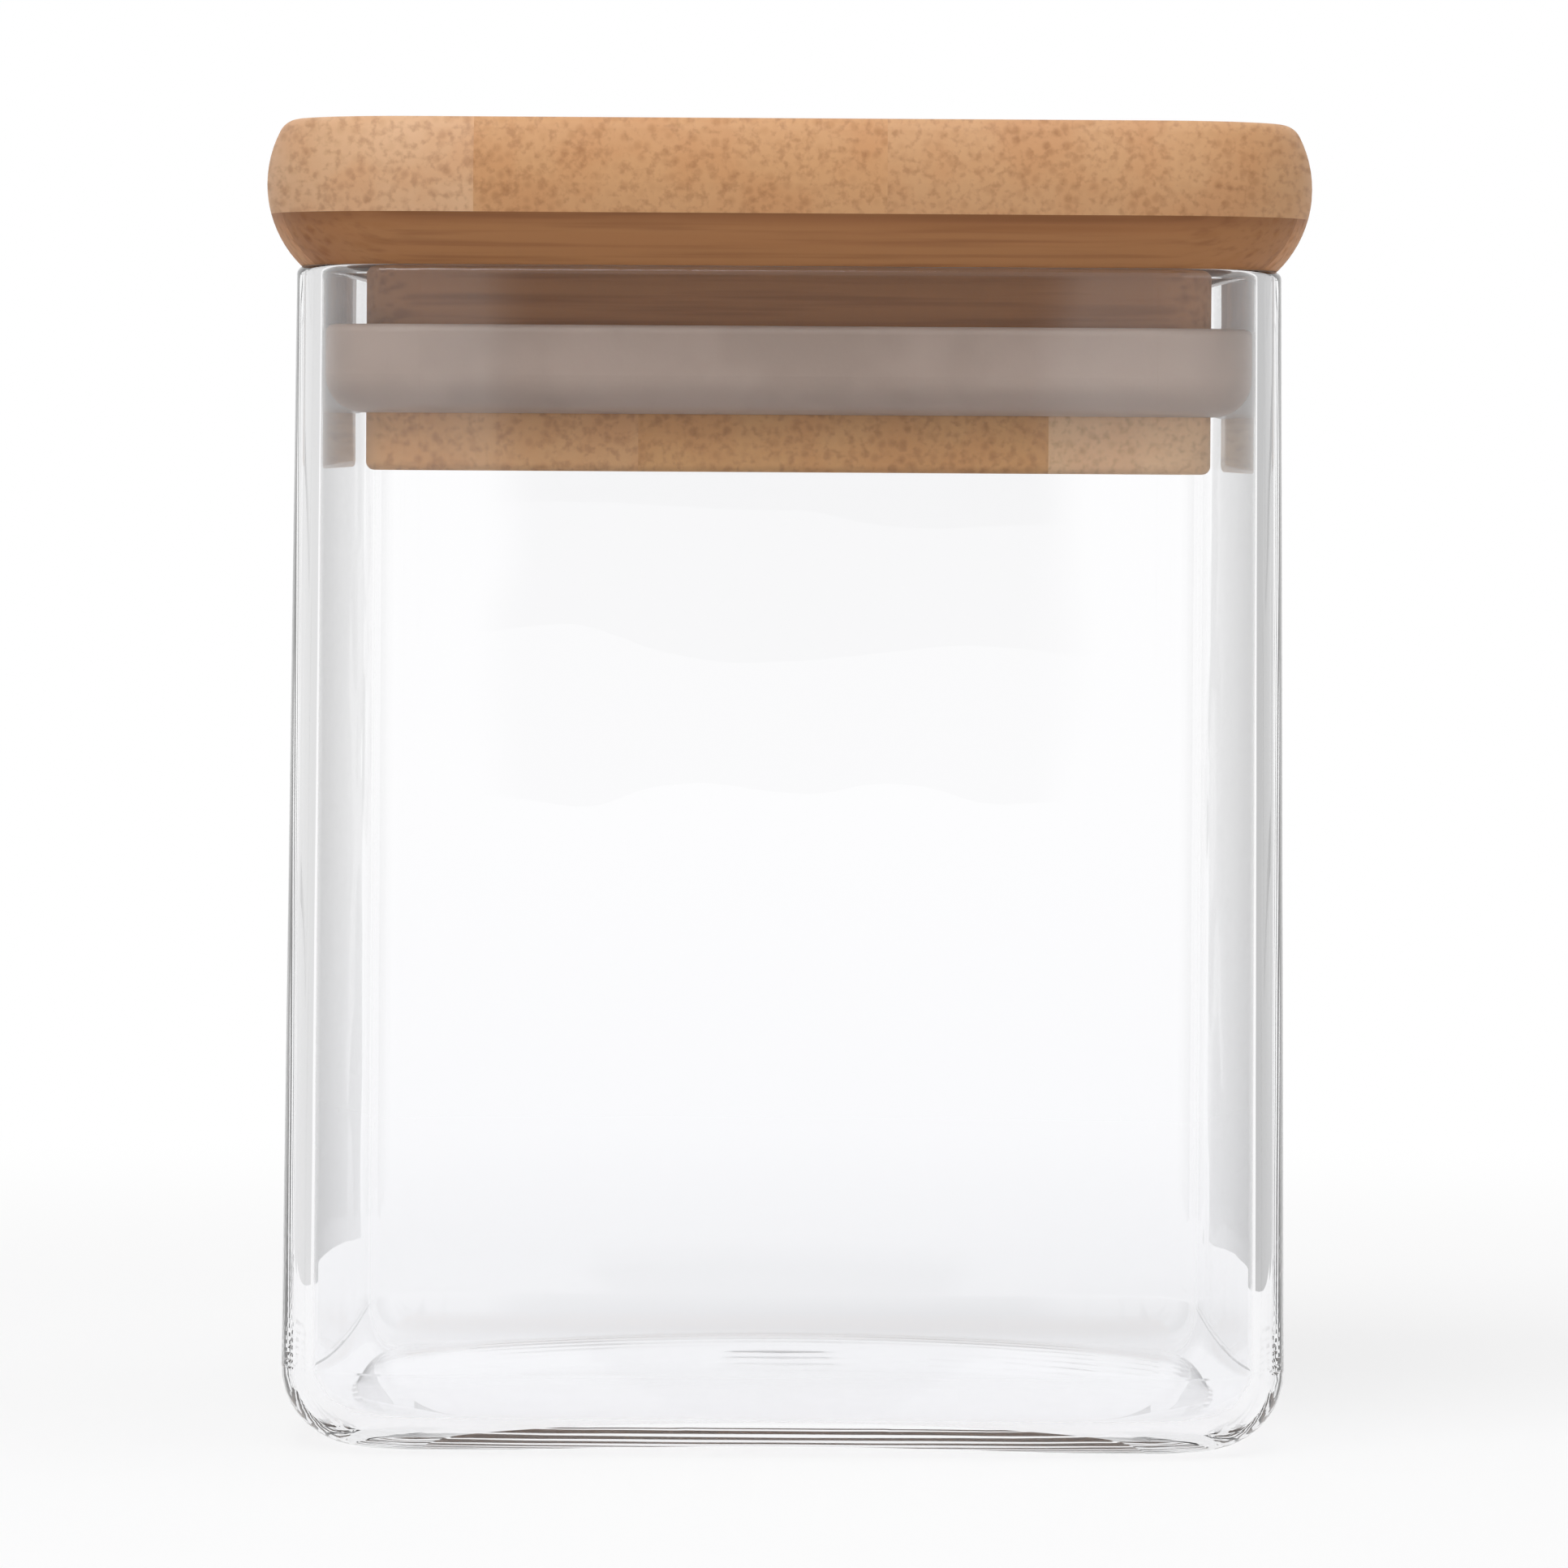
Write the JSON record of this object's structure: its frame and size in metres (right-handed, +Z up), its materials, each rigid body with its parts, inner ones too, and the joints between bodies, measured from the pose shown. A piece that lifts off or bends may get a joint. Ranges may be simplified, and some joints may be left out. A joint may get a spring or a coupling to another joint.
{
  "type": "spice jar",
  "caption": "Square clear glass spice jar with a plug-fit bamboo lid sealed by a silicone ring.",
  "frame": {"origin": "middle of the base, on the surface that the jar stands on", "axes": "+Z up, -Y towards the viewer of the picture, +X to the viewer's right"},
  "size_m": [0.063, 0.063, 0.08],
  "materials": {
    "glass": "clear, glossy",
    "silicone": "translucent grey silicone, satin",
    "bamboo": "sanded and oiled bamboo, satin"
  },
  "bodies": {
    "jar": {"glass_jar": "glass"},
    "lid": {"seal_ring": "silicone", "top_strip_1": "bamboo", "top_strip_2": "bamboo", "top_strip_3": "bamboo", "core_strip_1": "bamboo", "core_strip_2": "bamboo", "core_strip_3": "bamboo", "core_strip_4": "bamboo", "core_strip_5": "bamboo", "core_strip_6": "bamboo", "core_strip_7": "bamboo", "core_strip_8": "bamboo", "core_strip_9": "bamboo", "core_strip_10": "bamboo", "core_strip_11": "bamboo", "bottom_strip_1": "bamboo", "bottom_strip_2": "bamboo", "bottom_strip_3": "bamboo"}
  },
  "joints": [
    {"name": "lid_lift", "type": "slide", "parent": "jar", "child": "lid", "axis": [0, 0, 1], "range_m": [0, 0.06]}
  ]
}
